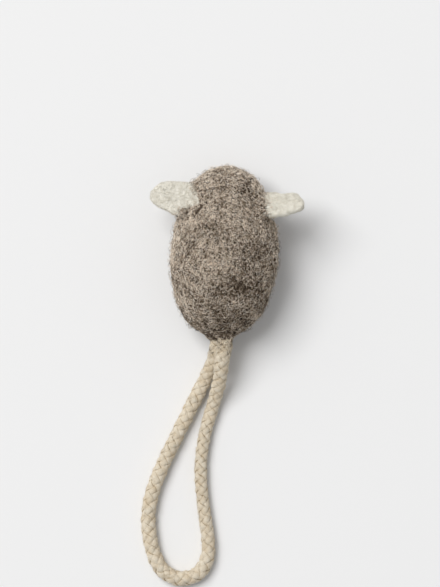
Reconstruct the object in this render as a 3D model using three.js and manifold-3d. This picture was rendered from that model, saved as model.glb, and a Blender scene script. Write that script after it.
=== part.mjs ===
// A felted wool mouse, a toy for cats. A grey wool coat is felted round a wool core, two cream felt
// ears sit in the coat, and a braided cotton cord leaves the rump as a looped tail.
// Millimetres. +Z is up, the nose points towards -Y, and the mouse lies on its belly at z = 0.
import * as THREE from "three";
import { mergeVertices } from "three/addons/utils/BufferGeometryUtils.js";
import Module from "manifold-3d";

const wasm = await Module();
wasm.setup();

// Clearances and walls
const seatGap = 0.3; // between any two pieces that touch
const cutOverrun = 2; // how far a cut runs past the face that it opens
const coatWall = 3; // thickness of the felted coat
const bellyFlat = 0.5; // depth of the flat that the mouse rests on
const lumpHeight = 0.6; // of the tallest lump of the coat, and the deepest hollow
const lumpSize = 5; // from the middle of the widest lump to where it has fallen to about a third

// The body lobe, its rump drawn in to the tail
const bodyWidth = 33.8;
const bodyLength = 46;
const bodyHeight = 28.5;
const bodyAside = 0.79; // its middle, sideways from the origin
const bodyBack = 2.47; // its middle, behind the origin

// The head lobe, which starts ahead of the body and runs back into it
const headWidth = 21.5;
const headLength = 25.6;
const headHeight = 24.4;
const headReach = 7; // the nose ahead of the body's front
const headAside = -1.5; // the head sits a little to one side of the body's middle
const chinLift = 1; // the underside of the head above the ground

// The ears: two like felt leaves, each held by its rounded root in a slit of the coat
const earWidth = 12.6;
const earLength = 16;
const earThickness = 3.2;
const earTipThickness = 2.2;
const foldUpAngle = 30; // degrees, as all angles here
const foldDownAngle = 25;
const earTurnAngles = {
  left: { yawAngle: -4, riseAngle: 6, rollAngle: 26 },
  right: { yawAngle: -3, riseAngle: 26, rollAngle: -50 },
};
// Each root's middle, sideways from the head's middle, back from the nose and up from the chin, in shares
// of the head's width, length and height
const earPlaceShares = {
  left: { asideShare: 0.4, backShare: 0.45, highShare: 0.64 },
  right: { asideShare: -0.385, backShare: 0.49, highShare: 0.63 },
};

// The tail: a cord whose two legs leave the rump one over the other
const cordDiameter = 4.4;
const legGap = 0.3; // between the two legs where they leave the rump
const legAside = 2.3; // how far apart the legs stand sideways there
const tailAside = 1.1; // the collar's centre, sideways from the body's middle
const tailInset = 2.1; // the collar's turning centre ahead of the rump's end
const tailHigh = 9.8; // the collar's centre above the ground
const swingAngle = 35; // to each side
const collarWool = 0.8; // wool round the legs
const collarBallRadius = 4.7; // the round root of the collar, seen from above
const sleeveLength = 4; // the collar behind its turning centre
const legSeat = 1; // how far the legs reach into the collar past its turning centre
const legStraight = 1; // how far the free legs run straight out of the collar
const knotRadius = 3.9; // of the knot's turns, at the cord's middle
const knotPitch = 3.6; // from one turn of the knot to the next
const knotLeanAngle = 20; // of each turn
const knotEnd = 4; // each cut end of the cord past the knot

// How finely round shapes are divided
const lobeSides = 32;
const lobeSteps = 20;
const coreSides = 20;
const coreSteps = 12;
const earSides = 16;
const earSteps = 9;
const rootSteps = 4;
const collarSides = 24;
const collarSteps = 7;
const cordSides = 10;
const cordSteps = 60;
const knotTurns = 3;
const knotSteps = 20;
const cutSides = 24;

// Outlines as shares, at equal steps of the angle that runs from 0 at one end to 180 degrees at the other
const bodyLeftShares = [0, 0.15, 0.3, 0.405, 0.458, 0.483, 0.5, 0.483, 0.45, 0.39, 0.308, 0.17, 0];
const bodyRightShares = [0, 0.15, 0.29, 0.397, 0.468, 0.495, 0.49, 0.46, 0.41, 0.345, 0.24, 0.12, 0];
const bodyTopShares = [0.42, 0.56, 0.7, 0.83, 0.93, 0.985, 1, 0.985, 0.92, 0.82, 0.69, 0.52, 0.33];
const bodyBaseShares = [0.42, 0.29, 0.18, 0.09, 0.02, 0, 0, 0, 0.02, 0.055, 0.1, 0.19, 0.33];
const headLeftShares = [0, 0.174, 0.335, 0.442, 0.49, 0.486, 0.478, 0.478, 0.464, 0.39, 0.28, 0.145, 0];
const headRightShares = [0, 0.09, 0.22, 0.362, 0.449, 0.493, 0.525, 0.545, 0.522, 0.449, 0.319, 0.16, 0];
const headTopShares = [0.31, 0.44, 0.57, 0.7, 0.81, 0.89, 0.95, 0.985, 1, 0.95, 0.82, 0.66, 0.5];
const headBaseShares = [0.31, 0.2, 0.12, 0.06, 0.02, 0, 0, 0.01, 0.06, 0.14, 0.25, 0.38, 0.5];
// The coat's lumps and, below zero, its hollows. Their shares are along the lobe, round it from the mouse's
// left by way of its belly, of the widest lump's size and of the tallest one's height.
const bodyLumpShares = [
  [0.35, 0.77, 0.7, -0.8],
  [0.43, 0.86, 0.7, -0.8],
  [0.49, 0.67, 0.9, -0.7],
  [0.49, 0.785, 1, 0.7],
  [0.615, 0.73, 0.9, -1],
  [0.59, 0.645, 0.8, -0.6],
  [0.745, 0.755, 0.8, -0.7],
  [0.64, 0.83, 1, 0.7],
  [0.7, 0.63, 0.8, 0.6],
  [0.35, 0.61, 0.8, 0.7],
  [0.6, 0.92, 0.9, -0.8],
  [0.75, 0.9, 0.8, 0.6],
  [0.5, 0.57, 0.9, 0.7],
  [0.68, 0.55, 0.9, -0.7],
  [0.5, 0.08, 1, 0.8],
  [0.5, 0.42, 1, -0.8],
];
const headLumpShares = [
  [0.24, 0.8, 0.6, -0.7],
  [0.39, 0.655, 0.7, -0.8],
  [0.42, 0.76, 0.8, 0.6],
  [0.34, 0.9, 0.7, 0.5],
  [0.24, 0.63, 0.6, 0.6],
  [0.3, 0.07, 0.7, -0.6],
  [0.35, 0.45, 0.7, 0.6],
];
// The ear's edges, from the root at 0 to the tip at 90 degrees
const earFrontShares = [0.42, 0.465, 0.465, 0.4, 0.29, 0.15, 0];
const earBackShares = [0.46, 0.5, 0.46, 0.335, 0.215, 0.1, 0];

// A smooth value from a table of shares, with t from 0 to 1 along it.
function shareAt(shares, t) {
  const place = t * (shares.length - 1);
  const i = Math.min(Math.floor(place), shares.length - 2);
  const f = place - i;
  const before = shares[Math.max(i - 1, 0)];
  const after = shares[Math.min(i + 2, shares.length - 1)];
  const [a, b] = [shares[i], shares[i + 1]];
  const curve = (2 * before - 5 * a + 4 * b - after) * f * f + (3 * a - before - 3 * b + after) * f * f * f;
  return a + 0.5 * ((b - before) * f + curve);
}

// Rings of equal length, front to back, joined into one closed skin with a fan over each end.
function loft(rings) {
  const sides = rings[0].length;
  const points = rings.flat();
  const faces = [];
  for (let r = 0; r + 1 < rings.length; r++) {
    for (let s = 0; s < sides; s++) {
      const [a, b] = [r * sides + s, r * sides + ((s + 1) % sides)];
      faces.push(a, b, a + sides, b, b + sides, a + sides);
    }
  }
  for (const [ring, start, inward] of [
    [rings[0], 0, true],
    [rings[rings.length - 1], (rings.length - 1) * sides, false],
  ]) {
    const middle = ring.reduce((sum, p) => sum.add(p), new THREE.Vector3()).divideScalar(sides);
    const hub = points.push(middle) - 1;
    for (let s = 0; s < sides; s++) {
      const [a, b] = [start + s, start + ((s + 1) % sides)];
      faces.push(...(inward ? [a, hub, b] : [a, b, hub]));
    }
  }
  const skin = new THREE.BufferGeometry().setFromPoints(points);
  skin.setIndex(faces);
  return skin;
}

const point = (x, y, z) => new THREE.Vector3(x, y, z);

// The place at share t along a lobe and angle a round it. The lobe runs along Y, drawn in on every side by
// inset, and its sides, top and base follow tables of shares.
function lobePoint(form, inset, t, a) {
  const [width, length, height] = [form.width, form.length, form.height].map((size) => size - 2 * inset);
  const top = height * shareAt(form.topShares, t);
  const base = height * shareAt(form.baseShares, t);
  const half = width * shareAt(Math.cos(a) > 0 ? form.leftShares : form.rightShares, t);
  const y = form.front + inset + (length * (1 - Math.cos(t * Math.PI))) / 2;
  const z = form.base + inset + (top + base) / 2 - (Math.sin(a) * (top - base)) / 2;
  return point(form.aside + Math.cos(a) * half, y, z);
}

// How far lumps raise a place at angle a round a lobe. The belly, which lies flat, has none.
function lumpRise(lumps, place, a) {
  let rise = 0;
  for (const { middle, size, height } of lumps) {
    rise += height * Math.exp(-((place.distanceTo(middle) / size) ** 2));
  }
  return rise * Math.min(1, 1 - Math.sin(a));
}

// A rounded lobe with its lumps.
function lobe(form, inset, sides, steps, lumpShares = []) {
  const lumps = lumpShares.map(([along, round, size, height]) => ({
    middle: lobePoint(form, inset, along, round * 2 * Math.PI),
    size: size * lumpSize,
    height: height * lumpHeight,
  }));
  const rings = [];
  for (let k = 1; k < steps; k++) {
    const ring = [];
    for (let s = 0; s < sides; s++) {
      const a = (s / sides) * 2 * Math.PI;
      const place = lobePoint(form, inset, k / steps, a);
      const rise = lumpRise(lumps, place, a);
      ring.push(place.add(point(Math.cos(a) * rise, 0, -Math.sin(a) * rise)));
    }
    rings.push(ring);
  }
  return loft(rings);
}

// Solids: a closed skin as something that can be cut and joined, and back again
function solid(skin) {
  const bare = new THREE.BufferGeometry().setAttribute("position", skin.getAttribute("position"));
  bare.setIndex(skin.getIndex());
  const merged = mergeVertices(bare);
  return new wasm.Manifold(
    new wasm.Mesh({
      numProp: 3,
      vertProperties: new Float32Array(merged.attributes.position.array),
      triVerts: new Uint32Array(merged.index.array),
    }),
  );
}

function skinOf(made) {
  const mesh = made.getMesh();
  const skin = new THREE.BufferGeometry();
  skin.setAttribute("position", new THREE.BufferAttribute(mesh.vertProperties, 3));
  skin.setIndex(new THREE.BufferAttribute(mesh.triVerts, 1));
  skin.computeVertexNormals();
  return skin;
}

// Room for a root of that radius that turns about local Y: a round seat, open outwards from down to up
// degrees below and above its middle.
function turningRoom(radius, down, up, reach, width) {
  const [low, high] = [-down, up].map(THREE.MathUtils.degToRad);
  const edge = (angle, side) => {
    const [along, across] = [new THREE.Vector2(reach, 0), new THREE.Vector2(0, side * radius)];
    return along.add(across).rotateAround(new THREE.Vector2(), angle);
  };
  const shape = new THREE.Shape();
  shape.absarc(0, 0, radius, high + Math.PI / 2, low + 1.5 * Math.PI, false);
  shape.lineTo(edge(low, -1).x, edge(low, -1).y);
  shape.lineTo(edge(high, 1).x, edge(high, 1).y);
  shape.closePath();
  const room = new THREE.ExtrudeGeometry(shape, {
    depth: width,
    bevelEnabled: false,
    curveSegments: cutSides / 2,
  });
  // The outline's plane becomes local X and Z, and its depth runs along local Y.
  return room.translate(0, 0, -width / 2).rotateX(Math.PI / 2);
}

// A round tube along a curve.
function tube(curve, radius, steps) {
  const section = new THREE.Shape().absarc(0, 0, radius, 0, 2 * Math.PI, false);
  return new THREE.ExtrudeGeometry(section, {
    extrudePath: curve,
    steps,
    curveSegments: cordSides / 2,
  });
}

const finishes = {
  greyWool: { color: 0x80766a, roughness: 1, metalness: 0 },
  creamWool: { color: 0xd6d1c5, roughness: 1, metalness: 0 },
  coreWool: { color: 0xc9c1b2, roughness: 1, metalness: 0 },
  cord: { color: 0xc8bea8, roughness: 0.95, metalness: 0 },
};

function piece(name, skin, finish) {
  const mesh = new THREE.Mesh(skin, new THREE.MeshStandardMaterial(finishes[finish]));
  mesh.name = name;
  return mesh;
}

// The body and head lobes
const body = {
  width: bodyWidth,
  length: bodyLength,
  height: bodyHeight,
  front: bodyBack - bodyLength / 2,
  aside: bodyAside,
  base: -bellyFlat,
  leftShares: bodyLeftShares,
  rightShares: bodyRightShares,
  topShares: bodyTopShares,
  baseShares: bodyBaseShares,
};
const head = {
  width: headWidth,
  length: headLength,
  height: headHeight,
  front: body.front - headReach,
  aside: bodyAside + headAside,
  base: chinLift,
  leftShares: headLeftShares,
  rightShares: headRightShares,
  topShares: headTopShares,
  baseShares: headBaseShares,
};

// The ear: rings from the round root, which turns about local Y, out along local X to the tip
function earSkin(side) {
  const root = earThickness / 2;
  const ring = (x, thickness, t) => {
    const front = earWidth * shareAt(earFrontShares, t);
    const back = earWidth * shareAt(earBackShares, t);
    const points = [];
    for (let s = 0; s < earSides; s++) {
      const a = (s / earSides) * 2 * Math.PI;
      const toBack = Math.cos(a) * side > 0;
      points.push(point(x, Math.cos(a) * (toBack ? back : front), (Math.sin(a) * thickness) / 2));
    }
    return points;
  };
  const rings = [];
  for (let k = 1; k <= rootSteps; k++) {
    const a = (k / rootSteps - 1) * (Math.PI / 2);
    rings.push(ring(root * Math.sin(a), earThickness * Math.cos(a), 0));
  }
  for (let k = 1; k < earSteps; k++) {
    const t = k / earSteps;
    const x = earLength * Math.sin((t * Math.PI) / 2);
    const thickness = THREE.MathUtils.lerp(earThickness, earTipThickness, t) * Math.sqrt(1 - t ** 6);
    rings.push(ring(x, thickness, t));
  }
  return loft(rings);
}

function earPlace(side, shares, turn) {
  const { degToRad } = THREE.MathUtils;
  const yaw = degToRad(turn.yawAngle) + (side > 0 ? 0 : Math.PI);
  const angles = new THREE.Euler(degToRad(turn.rollAngle), -degToRad(turn.riseAngle), yaw, "ZYX");
  const place = new THREE.Matrix4().makeRotationFromEuler(angles);
  const aside = head.aside + headWidth * shares.asideShare;
  const back = head.front + headLength * shares.backShare;
  return place.setPosition(aside, back, head.base + headHeight * shares.highShare);
}

const earMeshes = [];
const earRooms = [];
for (const [name, side] of [
  ["left", 1],
  ["right", -1],
]) {
  const place = earPlace(side, earPlaceShares[name], earTurnAngles[name]);
  const mesh = piece(`ear_${name}`, earSkin(side), "creamWool");
  mesh.applyMatrix4(place);
  earMeshes.push(mesh);
  const seat = earThickness / 2 + seatGap;
  const room = turningRoom(seat, foldDownAngle, foldUpAngle, earLength, earWidth + 2 * seatGap);
  earRooms.push(solid(room.applyMatrix4(place)));
}

// The tail's collar: wool round both legs, with a round root that turns in the rump about an upright axis
const legRise = Math.sqrt((cordDiameter + legGap) ** 2 - legAside ** 2);
const cordRadius = cordDiameter / 2;
const tailBack = body.front + bodyLength - tailInset;
const sleeveEnd = tailBack + sleeveLength;
const collarAside = bodyAside + tailAside;
const sleeveHalfWidth = legAside / 2 + cordRadius + collarWool;
const collarHalfHeight = legRise / 2 + cordRadius + collarWool;

function collarSkin() {
  const rings = [];
  const ring = (y, halfWidth, halfHeight) => {
    const points = [];
    for (let s = 0; s < collarSides; s++) {
      const a = (s / collarSides) * 2 * Math.PI;
      const [x, z] = [collarAside + Math.cos(a) * halfWidth, tailHigh - Math.sin(a) * halfHeight];
      points.push(point(x, tailBack + y, z));
    }
    return points;
  };
  for (let k = 1; k <= collarSteps; k++) {
    const a = (1 - k / collarSteps) * (Math.PI / 2);
    const y = -collarBallRadius * Math.sin(a);
    rings.push(ring(y, collarBallRadius * Math.cos(a), collarHalfHeight * Math.cos(a)));
  }
  for (let k = 1; k <= collarSteps; k++) {
    const t = k / collarSteps;
    const ease = THREE.MathUtils.smoothstep(t, 0, 1);
    const halfWidth = THREE.MathUtils.lerp(collarBallRadius, sleeveHalfWidth, ease);
    rings.push(ring(sleeveLength * t, halfWidth, collarHalfHeight));
  }
  return loft(rings);
}

// The cord's two legs where they pass through the collar
const legs = {
  upper: { x: collarAside - legAside / 2, z: tailHigh + legRise / 2 },
  lower: { x: collarAside + legAside / 2, z: tailHigh - legRise / 2 },
};

function straightLeg(leg, radius, from, to) {
  const run = new THREE.CylinderGeometry(radius, radius, to - from, cutSides);
  return solid(run.translate(leg.x, (from + to) / 2, leg.z));
}

let collar = solid(collarSkin());
const legMeshes = [];
for (const [name, leg] of Object.entries(legs)) {
  const seat = tailBack - legSeat;
  collar = collar.subtract(straightLeg(leg, cordRadius + seatGap, seat - seatGap, sleeveEnd + cutOverrun));
  legMeshes.push(piece(`tail_leg_${name}`, skinOf(straightLeg(leg, cordRadius, seat, sleeveEnd)), "cord"));
}
const collarSeat = { across: collarBallRadius + seatGap, high: 2 * (collarHalfHeight + seatGap) };
// The room turns about an upright axis: the cutter's local Y stands up and its local X points to the rear.
const collarRoom = solid(
  turningRoom(collarSeat.across, swingAngle, swingAngle, sleeveLength + cutOverrun, collarSeat.high)
    .rotateX(-Math.PI / 2)
    .rotateZ(Math.PI / 2)
    .translate(collarAside, tailBack, tailHigh),
);

// The free loop's route, from the upper leg's mouth in the collar round to the lower leg's mouth. At the
// mouths it is parted from the legs inside, so that the loop can lift about its upper edge there.
const tailRoute = [
  [1.05, 30.2, 11.8],
  [1.6, 33.6, 10.4],
  [2.0, 37.2, 8.2],
  [2.7, 41.1, 5.5],
  [3.8, 45.2, 3.2],
  [5.1, 49.6, 2.3],
  [6.5, 54.5, 2.25],
  [7.5, 59.4, 2.25],
  [8.1, 64.3, 2.25],
  [8.2, 69.2, 2.25],
  [7.9, 74.1, 2.25],
  [7.3, 79.0, 2.25],
  [6.6, 83.9, 2.25],
  [6.0, 88.6, 2.25],
  [5.9, 93.1, 2.25],
  [6.9, 96.9, 2.25],
  [9.2, 99.9, 2.25],
  [12.8, 101.3, 2.25],
  [16.6, 101.0, 2.25],
  [19.9, 99.0, 2.25],
  [22.1, 95.7, 2.25],
  [23.5, 91.5, 2.25],
  [24.3, 87.1, 2.25],
  [24.6, 82.5, 2.25],
  [24.1, 77.8, 2.25],
  [22.9, 73.1, 2.25],
  [21.2, 68.5, 2.25],
  [19.2, 63.9, 2.25],
  [17.0, 59.4, 2.25],
  [14.8, 54.9, 2.25],
  [12.5, 50.3, 2.25],
  [10.2, 45.7, 2.25],
  [7.9, 41.2, 2.4],
  [5.8, 36.9, 3.6],
  [4.2, 33.2, 5.7],
  [3.3, 30.0, 7.4],
];
const loopStart = sleeveEnd + seatGap;
const legEnds = (leg) => [loopStart, loopStart + legStraight].map((y) => point(leg.x, y, leg.z));
const tailCurve = new THREE.CatmullRomCurve3(
  [...legEnds(legs.upper), ...tailRoute.map((p) => point(...p)), ...legEnds(legs.lower).reverse()],
  false,
  "centripetal",
);

// The knot of both legs inside the core, which keeps the cord from pulling out: leaning turns round the
// legs, whose cut ends come out at its front. Swollen, it is the shape of its seat in the core.
function knotSolid(swell) {
  const back = tailBack - collarSeat.across - seatGap;
  const front = back - knotTurns * knotPitch - knotEnd;
  const clear = collarSeat.across * Math.sqrt(1 - (legRise / collarSeat.high) ** 2);
  const reach = swell > 0 ? 0 : seatGap;
  let knot = straightLeg(legs.upper, cordRadius + swell, front - swell, tailBack - clear - reach);
  knot = knot.add(straightLeg(legs.lower, cordRadius + swell, front - swell, tailBack - clear - reach));
  for (let k = 0; k < knotTurns; k++) {
    const turn = new THREE.TorusGeometry(knotRadius, cordRadius + swell, cordSides, knotSteps);
    turn.rotateX(Math.PI / 2 + THREE.MathUtils.degToRad(k % 2 ? knotLeanAngle : -knotLeanAngle));
    const y = back - cordRadius - (k + 0.5) * knotPitch;
    knot = knot.add(solid(turn.translate(collarAside, y, tailHigh)));
  }
  return knot;
}

// The core fills the coat, and leaves room for the knot and the collar
function bothLobes(inset, sides, steps) {
  return solid(lobe(body, inset, sides, steps)).add(solid(lobe(head, inset, sides, steps)));
}

const hollow = bothLobes(coatWall, lobeSides, lobeSteps);
let core = bothLobes(coatWall + seatGap, coreSides, coreSteps);
core = core.subtract(knotSolid(seatGap)).subtract(collarRoom);

// The coat: the body's shell first, then the head's, cut by the body
const ground = new THREE.BoxGeometry(2 * bodyWidth, 2 * bodyLength, bodyHeight);
ground.translate(0, 0, -bodyHeight / 2);
const bodyOuter = solid(lobe(body, 0, lobeSides, lobeSteps, bodyLumpShares));
let bodyShell = bodyOuter.subtract(hollow).subtract(collarRoom).subtract(solid(ground));
let headShell = solid(lobe(head, 0, lobeSides, lobeSteps, headLumpShares))
  .subtract(solid(lobe(body, -seatGap, lobeSides, lobeSteps, bodyLumpShares)))
  .subtract(hollow);
for (const room of earRooms) {
  bodyShell = bodyShell.subtract(room);
  headShell = headShell.subtract(room);
  core = core.subtract(room);
}

const largest = (made) => made.decompose().sort((a, b) => b.volume() - a.volume())[0];

const mouse = new THREE.Group();
mouse.add(
  piece("body_felt", skinOf(largest(bodyShell)), "greyWool"),
  piece("head_felt", skinOf(largest(headShell)), "greyWool"),
  piece("wool_core", skinOf(largest(core)), "coreWool"),
  ...earMeshes,
  piece("tail_knot", skinOf(knotSolid(0)), "cord"),
  piece("tail_collar", skinOf(largest(collar)), "greyWool"),
  ...legMeshes,
);

// The origin is under the middle of everything but the cord.
const extent = new THREE.Box3().setFromObject(mouse, true);
const middle = extent.getCenter(new THREE.Vector3());
mouse.add(piece("tail_loop", tube(tailCurve, cordRadius, cordSteps), "cord"));
mouse.position.set(-middle.x, -middle.y, -extent.min.z);

const part = new THREE.Group();
part.add(mouse);

export default part;
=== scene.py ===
import math

import bpy
import numpy as np
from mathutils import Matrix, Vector
from mathutils.bvhtree import BVHTree


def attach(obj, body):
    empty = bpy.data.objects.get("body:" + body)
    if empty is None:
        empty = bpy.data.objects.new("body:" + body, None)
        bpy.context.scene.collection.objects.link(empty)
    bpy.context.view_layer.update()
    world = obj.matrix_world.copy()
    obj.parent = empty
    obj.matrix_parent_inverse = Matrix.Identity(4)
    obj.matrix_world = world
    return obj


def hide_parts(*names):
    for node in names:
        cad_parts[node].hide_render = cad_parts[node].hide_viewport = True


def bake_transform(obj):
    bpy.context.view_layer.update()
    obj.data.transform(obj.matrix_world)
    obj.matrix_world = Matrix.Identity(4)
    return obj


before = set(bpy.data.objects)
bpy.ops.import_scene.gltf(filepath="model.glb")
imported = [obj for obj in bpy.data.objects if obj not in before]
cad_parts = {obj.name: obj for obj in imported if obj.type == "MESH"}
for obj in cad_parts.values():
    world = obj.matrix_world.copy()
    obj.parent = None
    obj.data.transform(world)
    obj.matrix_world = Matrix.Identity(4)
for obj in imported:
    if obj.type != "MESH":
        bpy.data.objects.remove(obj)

MM = 0.001
scene = bpy.context.scene
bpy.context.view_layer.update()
rng = np.random.default_rng(2031)

# -------------------- helpers


def linear(*rgb):
    """A colour written in screen values from 0 to 255, as the shader's linear colour."""
    c = np.array(rgb, float) / 255
    c = np.where(c <= 0.04045, c / 12.92, ((c + 0.055) / 1.055) ** 2.4)
    return (*c.tolist(), 1.0)


def unit(v):
    return v / np.maximum(np.linalg.norm(v, axis=-1, keepdims=True), 1e-9)


def smooth_step(t):
    t = np.clip(t, 0, 1)
    return t * t * (3 - 2 * t)


def between(a, b, share):
    """What lies that share of the way from a to b."""
    return a + (b - a) * share


def waves(points, shortest, longest, count, seed):
    """A smooth random field of about unit spread: many plane waves with lengths in that range."""
    r = np.random.default_rng(seed)
    k = unit(r.normal(size=(count, 3))) * (2 * math.pi / r.uniform(shortest, longest, (count, 1)))
    phase = r.uniform(0, 2 * math.pi, count)
    return np.sin(points @ k.T + phase).sum(1) * math.sqrt(2 / count)


def volume(verts, faces):
    """The signed volume inside closed bodies, below zero where their faces look inwards."""
    total = 0.0
    for size in (3, 4):
        some = np.array([f for f in faces if len(f) == size], int).reshape(-1, size)
        for k in range(1, size - 1):
            a, b, c = (verts[some[:, j]] for j in (0, k, k + 1))
            total += (a * np.cross(b, c)).sum() / 6
    return total


def outward(verts, faces):
    """The faces of closed bodies, all looking outwards."""
    return faces if volume(verts, faces) > 0 else [f[::-1] for f in faces]


def make_mesh(name, verts, faces, materials, index=None):
    """A mesh object from points in millimetres."""
    mesh = bpy.data.meshes.new(name)
    mesh.from_pydata((verts * MM).tolist(), [], faces)
    for m in materials:
        mesh.materials.append(m)
    if index is not None:
        mesh.polygons.foreach_set("material_index", index)
    mesh.polygons.foreach_set("use_smooth", [True] * len(mesh.polygons))
    mesh.update()
    obj = bpy.data.objects.new(name, mesh)
    scene.collection.objects.link(obj)
    return obj


def grid_faces(rows, cols, start=0):
    """Quads of rings that close round on themselves, each ring after the other."""
    r, c = np.meshgrid(np.arange(rows - 1), np.arange(cols), indexing="ij")
    a = start + r * cols + c
    b = start + r * cols + (c + 1) % cols
    return np.stack([a, b, b + cols, a + cols], -1).reshape(-1, 4)


def capped(rings):
    """Rings (n, m, 3) as points and faces of one closed body, with a fan over each end."""
    n, m, _ = rings.shape
    verts = np.concatenate([rings.reshape(-1, 3), rings[0].mean(0)[None], rings[-1].mean(0)[None]])
    faces = grid_faces(n, m).tolist()
    for s in range(m):
        e = (s + 1) % m
        faces.append([n * m, e, s])
        faces.append([n * m + 1, (n - 1) * m + s, (n - 1) * m + e])
    return verts, outward(verts, faces)


def grid_normals(points):
    """Normals of a grid of rings, outwards."""
    across = np.roll(points, -1, 1) - np.roll(points, 1, 1)
    along = np.gradient(points, axis=0)
    skin = unit(np.cross(across, along))
    away = points - points.mean(1, keepdims=True)
    return skin * np.sign((skin * away).sum())


# -------------------- camera

CAMERA_HEIGHT = 1150.0
SCALE_PLANE = 6.0  # the height above the floor at which the photograph's scale holds
VIEW_HEIGHT = 182.9
VIEW_MIDDLE = (2.19, 12.29)
SENSOR = 36  # the longer side of the camera's sensor

camera_data = bpy.data.cameras.new("camera")
camera_data.sensor_width = SENSOR
camera_data.lens = SENSOR * CAMERA_HEIGHT / VIEW_HEIGHT
camera_data.clip_end = 20
camera = bpy.data.objects.new("camera", camera_data)
camera.location = (VIEW_MIDDLE[0] * MM, VIEW_MIDDLE[1] * MM, (SCALE_PLANE + CAMERA_HEIGHT) * MM)
camera.rotation_euler = (0, 0, math.pi)
scene.collection.objects.link(camera)
scene.camera = camera

# -------------------- materials


def set_inputs(node, **values):
    """Values for a node's inputs, with the spaces in their names written as underscores."""
    for name, value in values.items():
        node.inputs[name.replace("_", " ")].default_value = value
    return node


def material(name, colour, roughness, sheen=0.0):
    m = bpy.data.materials.new(name)
    m.use_nodes = True
    bsdf = set_inputs(m.node_tree.nodes["Principled BSDF"], Base_Color=colour, Roughness=roughness)
    set_inputs(bsdf, Specular_IOR_Level=0.25, Sheen_Weight=sheen, Sheen_Roughness=0.5)
    return m


def colour_ramp(nodes, stops):
    """A ramp node through colours, each with its place."""
    ramp = nodes.new("ShaderNodeValToRGB")
    for k, (at, colour) in enumerate(stops):
        stop = ramp.color_ramp.elements[k] if k < 2 else ramp.color_ramp.elements.new(at)
        stop.position = at
        stop.color = colour
    return ramp


def multiply_colours(nodes):
    mix = nodes.new("ShaderNodeMix")
    mix.data_type = "RGBA"
    mix.blend_type = "MULTIPLY"
    return mix


CLOUD_SHARE = 0.35  # how much the cloudy changes add to the streaks
FELT_BUMP, YARN_BUMP = 0.3, 0.2


def felt(name, stops, fine, coarse, bump, sheen):
    """Felted fibres: fine streaky noise over slow cloudy changes of colour, with a bump of its own."""
    m = material(name, stops[1][1], 1.0, sheen)
    nodes, links = m.node_tree.nodes, m.node_tree.links
    bsdf = nodes["Principled BSDF"]
    place = nodes.new("ShaderNodeTexCoord")
    grain = set_inputs(nodes.new("ShaderNodeTexNoise"), Scale=fine, Detail=4, Distortion=1.6)
    cloud = set_inputs(nodes.new("ShaderNodeTexNoise"), Scale=coarse, Detail=2)
    both = nodes.new("ShaderNodeMath")
    both.operation = "MULTIPLY_ADD"
    both.inputs[1].default_value = CLOUD_SHARE
    ramp = colour_ramp(nodes, stops)
    lift = set_inputs(nodes.new("ShaderNodeBump"), Strength=bump, Distance=FELT_BUMP * MM)
    links.new(place.outputs["Object"], grain.inputs["Vector"])
    links.new(place.outputs["Object"], cloud.inputs["Vector"])
    links.new(cloud.outputs["Fac"], both.inputs[0])
    links.new(grain.outputs["Fac"], both.inputs[2])
    links.new(both.outputs[0], ramp.inputs["Fac"])
    links.new(ramp.outputs["Color"], bsdf.inputs["Base Color"])
    links.new(grain.outputs["Fac"], lift.inputs["Height"])
    links.new(lift.outputs["Normal"], bsdf.inputs["Normal"])
    return m


# The felt under the coat's fibres: partly the wool's own dark grey-brown, partly painted shade, kept dark so
# that the gaps between the fibres read as shadow.
grey_felt_gap_shade = felt(
    "grey_felt_gap_shade",
    [(0.55, linear(47, 38, 30)), (0.68, linear(86, 74, 61)), (0.84, linear(152, 138, 122))],
    fine=2600, coarse=170, bump=0.6, sheen=0.0,
)
cream_felt = felt(
    "cream_felt",
    [(0.5, linear(224, 218, 205)), (0.66, linear(231, 227, 216)), (0.84, linear(236, 233, 223))],
    fine=2600, coarse=240, bump=0.35, sheen=0.1,
)
GREY_SHADES = [
    (58, 46, 34), (98, 82, 66), (150, 133, 113), (190, 173, 152),
    (217, 200, 181), (236, 221, 203), (249, 238, 223),
]
grey_wools = [material(f"grey_wool_{k}", linear(*c), 0.9) for k, c in enumerate(GREY_SHADES)]
CREAM_SHADES = [(224, 219, 205), (231, 227, 215), (236, 233, 222), (241, 239, 230)]
cream_wools = [material(f"cream_wool_{k}", linear(*c), 0.9) for k, c in enumerate(CREAM_SHADES)]
COTTON_SHADES = [(206, 192, 168), (220, 208, 186), (232, 222, 203), (241, 234, 219)]
cotton_fuzz = [material(f"cotton_fuzz_{k}", linear(*c), 0.9) for k, c in enumerate(COTTON_SHADES)]


STRAND_UV = 0.9  # what one radian round a strand measures in its UV map


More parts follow.
